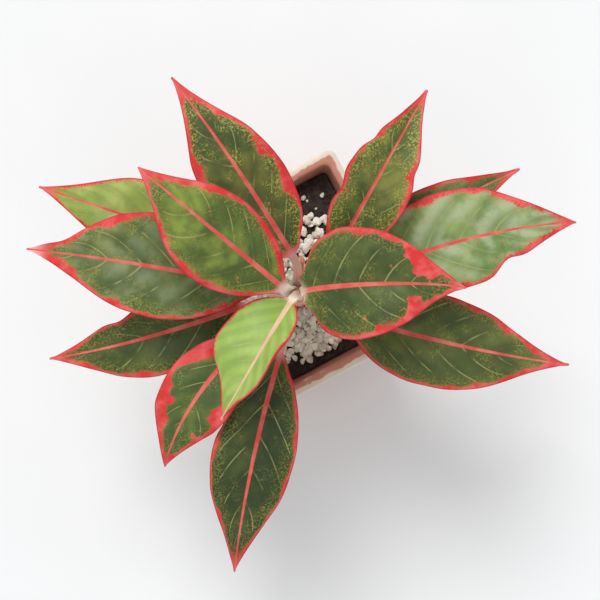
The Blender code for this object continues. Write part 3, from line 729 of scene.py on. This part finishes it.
def make_pot():
    levels = pot_levels()
    bpy.ops.object.select_all(action="DESELECT")
    bpy.ops.mesh.primitive_plane_add(size=2 * levels[0][0])
    pot = bpy.context.object
    pot.name = "square_pot"
    bpy.ops.object.mode_set(mode="EDIT")
    bpy.ops.mesh.select_all(action="SELECT")
    bpy.ops.mesh.bevel(affect="VERTICES", offset=0.0034, segments=6)
    bpy.ops.mesh.select_all(action="SELECT")
    half, z = levels[0]
    for next_half, next_z in levels[1:]:
        bpy.ops.mesh.extrude_region_move(TRANSFORM_OT_translate={"value": (0, 0, next_z - z)})
        grow = next_half / half
        bpy.ops.transform.resize(value=(grow, grow, 1), center_override=(0, 0, next_z))
        half, z = next_half, next_z
    bpy.ops.mesh.select_all(action="SELECT")
    bpy.ops.mesh.normals_make_consistent(inside=False)
    bpy.ops.object.mode_set(mode="OBJECT")
    for sign_x in (-1, 1):
        for sign_y in (-1, 1):
            bpy.ops.object.select_all(action="DESELECT")
            centre = (sign_x * DRAIN_OFFSET, sign_y * DRAIN_OFFSET, 0)
            bpy.ops.mesh.primitive_cylinder_add(vertices=32, radius=DRAIN_RADIUS, depth=0.05, location=centre)
            drill = bpy.context.object
            cut = pot.modifiers.new("drain", "BOOLEAN")
            cut.operation = "DIFFERENCE"
            cut.solver = "EXACT"
            cut.object = drill
            apply_all(pot)
            bpy.data.objects.remove(drill, do_unlink=True)
    only(pot)
    bpy.ops.object.mode_set(mode="EDIT")
    bpy.ops.mesh.select_all(action="SELECT")
    bpy.ops.mesh.quads_convert_to_tris()
    bpy.ops.mesh.tris_convert_to_quads()
    bpy.ops.mesh.subdivide(number_cuts=3)
    bpy.ops.object.mode_set(mode="OBJECT")
    mesh = pot.data
    mouth = RIM_HALF - WALL
    wash, painted_inner_shade = [], []
    for vertex in mesh.vertices:
        x, y, z = vertex.co
        reach = max(abs(x), abs(y))
        middle_of_wall = FOOT_HALF + (RIM_HALF - FOOT_HALF) * z / POT_HEIGHT - WALL / 2
        outside = reach > middle_of_wall or z < 0.004
        if z > POT_HEIGHT - 0.0030:
            share = (reach - mouth) / (RIM_HALF - mouth)
            wash.append(min(1.0, max(0.0, 1.25 * share - 0.12)) if share > 0.12 else 0.42)
        elif outside:
            wash.append(0.66 if z > POT_HEIGHT - BAND_HEIGHT else 0.30 + 0.30 * z / POT_HEIGHT)
        else:
            wash.append(0.0)
        # painted shade inside the walls, growing over 15 mm below the rim
        inside = reach < middle_of_wall and z > FLOOR_THICKNESS
        painted_inner_shade.append(min(1.0, max(0.0, (POT_HEIGHT - 0.002 - z) / 0.015)) if inside else 0.0)
        if z > 0.003:
            push = 0.00022 * noise.noise(vertex.co * 45)
            vertex.co.x += push * (1 if x > 0 else -1)
            vertex.co.y += push * (1 if y > 0 else -1)
    mesh.attributes.new("wash", "FLOAT", "POINT").data.foreach_set("value", wash)
    mesh.attributes.new("painted_inner_shade", "FLOAT", "POINT").data.foreach_set("value", painted_inner_shade)
    only(pot)
    bpy.ops.object.shade_smooth_by_angle(angle=math.radians(40))
    finish_piece(pot, terracotta_finish(), "terracotta", "pot")


make_pot()


# ---------------------------------------------------------------- soil, gravel and stones


def make_soil():
    """Root ball with a crumbly top, tapered towards its foot."""
    half = SOIL_HALF + 0.0008
    depth = SOIL_TOP - soil_low[2]
    bpy.ops.object.select_all(action="DESELECT")
    bpy.ops.mesh.primitive_cube_add(size=1, location=(0, 0, SOIL_TOP - depth / 2), scale=(2 * half, 2 * half, depth))
    soil = bpy.context.object
    soil.name = "potting_mix"
    only(soil)
    bpy.ops.object.transform_apply(location=True, rotation=True, scale=True)
    for corner in soil.data.vertices:
        if corner.co.z < SOIL_TOP - 0.01:
            corner.co.x *= 0.70
            corner.co.y *= 0.70
    for side in soil.data.polygons:
        side.select = side.normal.z > 0.9
    for edge in soil.data.edges:
        edge.select = all(soil.data.vertices[v].co.z > SOIL_TOP - 0.01 for v in edge.vertices)
    for corner in soil.data.vertices:
        corner.select = corner.co.z > SOIL_TOP - 0.01
    bpy.ops.object.mode_set(mode="EDIT")
    bpy.ops.mesh.subdivide(number_cuts=100)
    bpy.ops.object.mode_set(mode="OBJECT")
    for vertex in soil.data.vertices:
        if vertex.co.z > SOIL_TOP - 0.001:
            lump = noise.noise(vertex.co * 120) * 0.0011 + noise.noise(vertex.co * 420) * 0.0010
            grain = noise.noise(vertex.co * 1100) * 0.0004
            vertex.co.z += min(lump + grain, 0.0016)
    only(soil)
    bpy.ops.object.shade_smooth_by_angle(angle=math.radians(60))
    finish_piece(soil, soil_mix, "potting_mix", "soil")


def make_chip(name, seed, squash):
    """A broken stone: a ball cut by a few planes and flattened."""
    spread = random.Random(seed)
    bpy.ops.object.select_all(action="DESELECT")
    bpy.ops.mesh.primitive_ico_sphere_add(subdivisions=2, radius=1.0)
    chip = bpy.context.object
    chip.name = name
    bpy.ops.object.mode_set(mode="EDIT")
    for _ in range(8):
        bpy.ops.mesh.select_all(action="SELECT")
        normal = Vector((spread.uniform(-1, 1), spread.uniform(-1, 1), spread.uniform(-1, 1))).normalized()
        bpy.ops.mesh.bisect(
            plane_co=normal * spread.uniform(0.52, 0.78), plane_no=normal, use_fill=True, clear_outer=True
        )
    bpy.ops.mesh.select_all(action="SELECT")
    bpy.ops.transform.resize(value=(1.0, spread.uniform(0.72, 0.9), squash), center_override=(0, 0, 0))
    bpy.ops.mesh.dissolve_limited(angle_limit=math.radians(12))
    bpy.ops.object.mode_set(mode="OBJECT")
    return chip


def scatter(name, chips, places, finish, slot, nodes, seed):
    """Copies chips to places (x, y, z, size), each turned its own way, and joins them."""
    spread = random.Random(seed)
    copies = []
    for x, y, z, size in places:
        chip = spread.choice(chips)
        mesh = chip.data.copy()
        turn = Matrix.Rotation(spread.uniform(0, 6.28), 4, "Z") @ Matrix.Rotation(spread.gauss(0, 0.45), 4, "X")
        turn = turn @ Matrix.Rotation(spread.gauss(0, 0.45), 4, "Y")
        mesh.transform(Matrix.Translation((x, y, z)) @ turn @ Matrix.Scale(size, 4))
        tone = spread.random() ** 1.6
        mesh.attributes.new("tone", "FLOAT", "POINT").data.foreach_set("value", [tone] * len(mesh.vertices))
        copy = bpy.data.objects.new("stone", mesh)
        bpy.context.scene.collection.objects.link(copy)
        copies.append(copy)
    only(*copies)
    bpy.ops.object.join()
    pile = bpy.context.object
    pile.name = name
    finish_piece(pile, finish, slot, *nodes)


def bed_edge(bearing):
    """How far the gravel heap reaches at a bearing in radians, short of the walls."""
    reach = 0.043 * (1 + 0.05 * math.sin(3 * bearing + 0.6) + 0.04 * math.sin(7 * bearing))
    reach += 0.0135 * max(0.0, math.cos(bearing - math.radians(62))) ** 2
    for along, axis in ((math.cos(bearing), AXIS[0]), (math.sin(bearing), AXIS[1])):
        if abs(along) > 0.05:
            reach = min(reach, (SOIL_HALF - 0.004 - math.copysign(axis, axis * along)) / abs(along))
    return reach


def heap_places():
    """Two layers of stones in a low mound round the stem."""
    spread = random.Random(5)
    places = []
    golden = math.pi * (3 - math.sqrt(5))
    for layer, count, lift, low, high in ((0, 560, 0.0008, 2.1, 3.5), (1, 430, 0.0030, 1.9, 3.7)):
        for k in range(count):
            bearing = k * golden + layer + spread.uniform(-0.15, 0.15)
            share = math.sqrt((k + 0.5) / count)
            reach = bed_edge(bearing) * share * (1.0 if layer == 0 else 0.90) + spread.uniform(-0.0006, 0.0006)
            if reach < 0.0085:
                continue
            if share > 0.86 and spread.random() < (share - 0.86) * 4:
                continue
            mound = 0.0020 * (1 - share**2)
            size = spread.uniform(low, high) * MM
            x, y = AXIS[0] + reach * math.cos(bearing), AXIS[1] + reach * math.sin(bearing)
            places.append((x, y, SOIL_TOP + lift + mound + spread.uniform(-0.0004, 0.0004), size))
    return places


def stray_places(nodes):
    """Loose stones at the part's own pebbles, and more round the heap's edge."""
    spread = random.Random(9)
    places = []
    for node in nodes:
        low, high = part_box(node)
        size = max(high[0] - low[0], high[1] - low[1]) * 0.56
        places.append(((low[0] + high[0]) / 2, (low[1] + high[1]) / 2, low[2] + size * 0.45, size))
    limit = SOIL_HALF - 0.004
    while len(places) < STRAY_STONES:
        bearing = spread.uniform(0, 2 * math.pi)
        reach = bed_edge(bearing) + abs(spread.gauss(0, 0.006))
        x, y = AXIS[0] + reach * math.cos(bearing), AXIS[1] + reach * math.sin(bearing)
        if abs(x) < limit and abs(y) < limit:
            size = spread.uniform(0.9, 2.3) * MM
            places.append((x, y, SOIL_TOP + size * 0.35, size))
    return places


def crumb_places():
    """Crumbs of potting mix on the bare soil."""
    spread = random.Random(21)
    limit = SOIL_HALF - 0.002
    places = []
    for _ in range(CRUMBS):
        x, y = spread.uniform(-limit, limit), spread.uniform(-limit, limit)
        if math.hypot(x - AXIS[0], y - AXIS[1]) < 0.034:
            continue
        size = spread.uniform(0.5, 1.5) * MM
        places.append((x, y, SOIL_TOP + size * 0.3, size))
    return places


soil_mix = soil_finish()
make_soil()
chips = [make_chip(f"chip_{k}", 40 + k, 0.62 + 0.05 * k) for k in range(6)]
pebbles = sorted(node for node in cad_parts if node.startswith("pebble_"))
gravel = gravel_finish()
scatter("gravel_dressing", chips, heap_places(), gravel, "gravel", ["gravel_bed"], 3)
scatter("stray_stones", chips, stray_places(pebbles), gravel, "gravel", pebbles, 4)
scatter("soil_crumbs", chips, crumb_places(), soil_mix, "potting_mix", [], 6)
for chip in chips:
    bpy.data.objects.remove(chip, do_unlink=True)


# ---------------------------------------------------------------- stem and old stalk


def make_old_stalk():
    """The stub of an old leaf's stalk: ringed, slightly waisted, rounded at its end."""
    bearing, slope, length = 58.0, 52.0, OLD_STALK_LENGTH
    start = Vector(place(stem_radius(0.108) / MM + 2.1, bearing, 109.0))
    along = Vector(direction(bearing, slope))
    bpy.ops.object.select_all(action="DESELECT")
    bpy.ops.mesh.primitive_circle_add(vertices=28, radius=OLD_STALK_RADIUS, fill_type="NGON")
    stub = bpy.context.object
    stub.name = "old_stalk_stub"
    bpy.ops.object.mode_set(mode="EDIT")
    bpy.ops.mesh.select_all(action="SELECT")
    radius, z = OLD_STALK_RADIUS, 0.0
    round_from = 0.93
    for share in [k / 26 for k in range(1, 25)] + [0.955, 0.98, 0.995, 1.0]:
        ring = 0.00012 * math.sin(share * 40)
        grown = OLD_STALK_RADIUS - 0.0002 * math.sin(share * 5) + ring
        if share > round_from:
            grown *= math.sqrt(max(0.02, 1 - ((share - round_from) / (1 - round_from)) ** 2 * 0.95))
        bpy.ops.mesh.extrude_region_move(TRANSFORM_OT_translate={"value": (0, 0, length * share - z)})
        bpy.ops.transform.resize(value=(grown / radius, grown / radius, 1), center_override=(0, 0, length * share))
        radius, z = grown, length * share
    bpy.ops.mesh.select_all(action="SELECT")
    bpy.ops.mesh.normals_make_consistent(inside=False)
    bpy.ops.object.mode_set(mode="OBJECT")
    stub.data.transform(Matrix.Translation(start) @ along.to_track_quat("Z", "Y").to_matrix().to_4x4())
    only(stub)
    bpy.ops.object.shade_smooth_by_angle(angle=math.radians(50))
    finish_piece(stub, stem_finish("old_stalk", (212, 138, 118), (128, 74, 56)), "stalk", "petiole_stub")


make_old_stalk()
stem_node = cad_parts["stem"]
stem_node.data.materials.clear()
stem_node.data.materials.append(stem_finish("stem_skin", (214, 170, 146), (150, 104, 82)))


# ---------------------------------------------------------------- floor, light and camera


def make_floor():
    bpy.ops.object.select_all(action="DESELECT")
    bpy.ops.mesh.primitive_plane_add(size=6)
    floor = bpy.context.object
    floor.name = "floor"
    f = Finish("pale_floor", 0.7)
    tone = f.mix(f.span(f.noise(3, 3), 0.3, 0.7), linear(238, 240, 242), linear(243, 245, 247))
    floor.data.materials.append(f.done(tone, 0.7, f.bump(f.noise(60, 3), 0.03, 0.001)))


def make_light():
    """Plain pale light from all round, and one broad soft sun."""
    world = bpy.data.worlds.new("studio")
    world.use_nodes = True
    world.node_tree.nodes["Background"].inputs["Color"].default_value = (1.0, 1.0, 1.0, 1.0)
    world.node_tree.nodes["Background"].inputs["Strength"].default_value = 0.66
    bpy.context.scene.world = world
    key = bpy.data.lights.new("window", "SUN")
    key.energy = 1.75
    key.angle = math.radians(28)
    key.color = (1.0, 0.985, 0.965)
    lamp = bpy.data.objects.new("window", key)
    bpy.context.scene.collection.objects.link(lamp)
    toward = Vector(direction(SUN_BEARING, SUN_SLOPE))
    lamp.rotation_euler = toward.to_track_quat("Z", "Y").to_euler()


def make_camera():
    """One metre up, looking straight down."""
    camera = bpy.data.cameras.new("camera")
    camera.lens = 83.36
    camera.sensor_width = 36
    made = bpy.data.objects.new("camera", camera)
    made.location = CAMERA_PLACE
    made.rotation_euler = (0.0, 0.0, math.radians(CAMERA_TURN))
    bpy.context.scene.collection.objects.link(made)
    bpy.context.scene.camera = made


make_floor()
make_light()
make_camera()
bpy.context.scene.view_settings.view_transform = "Standard"
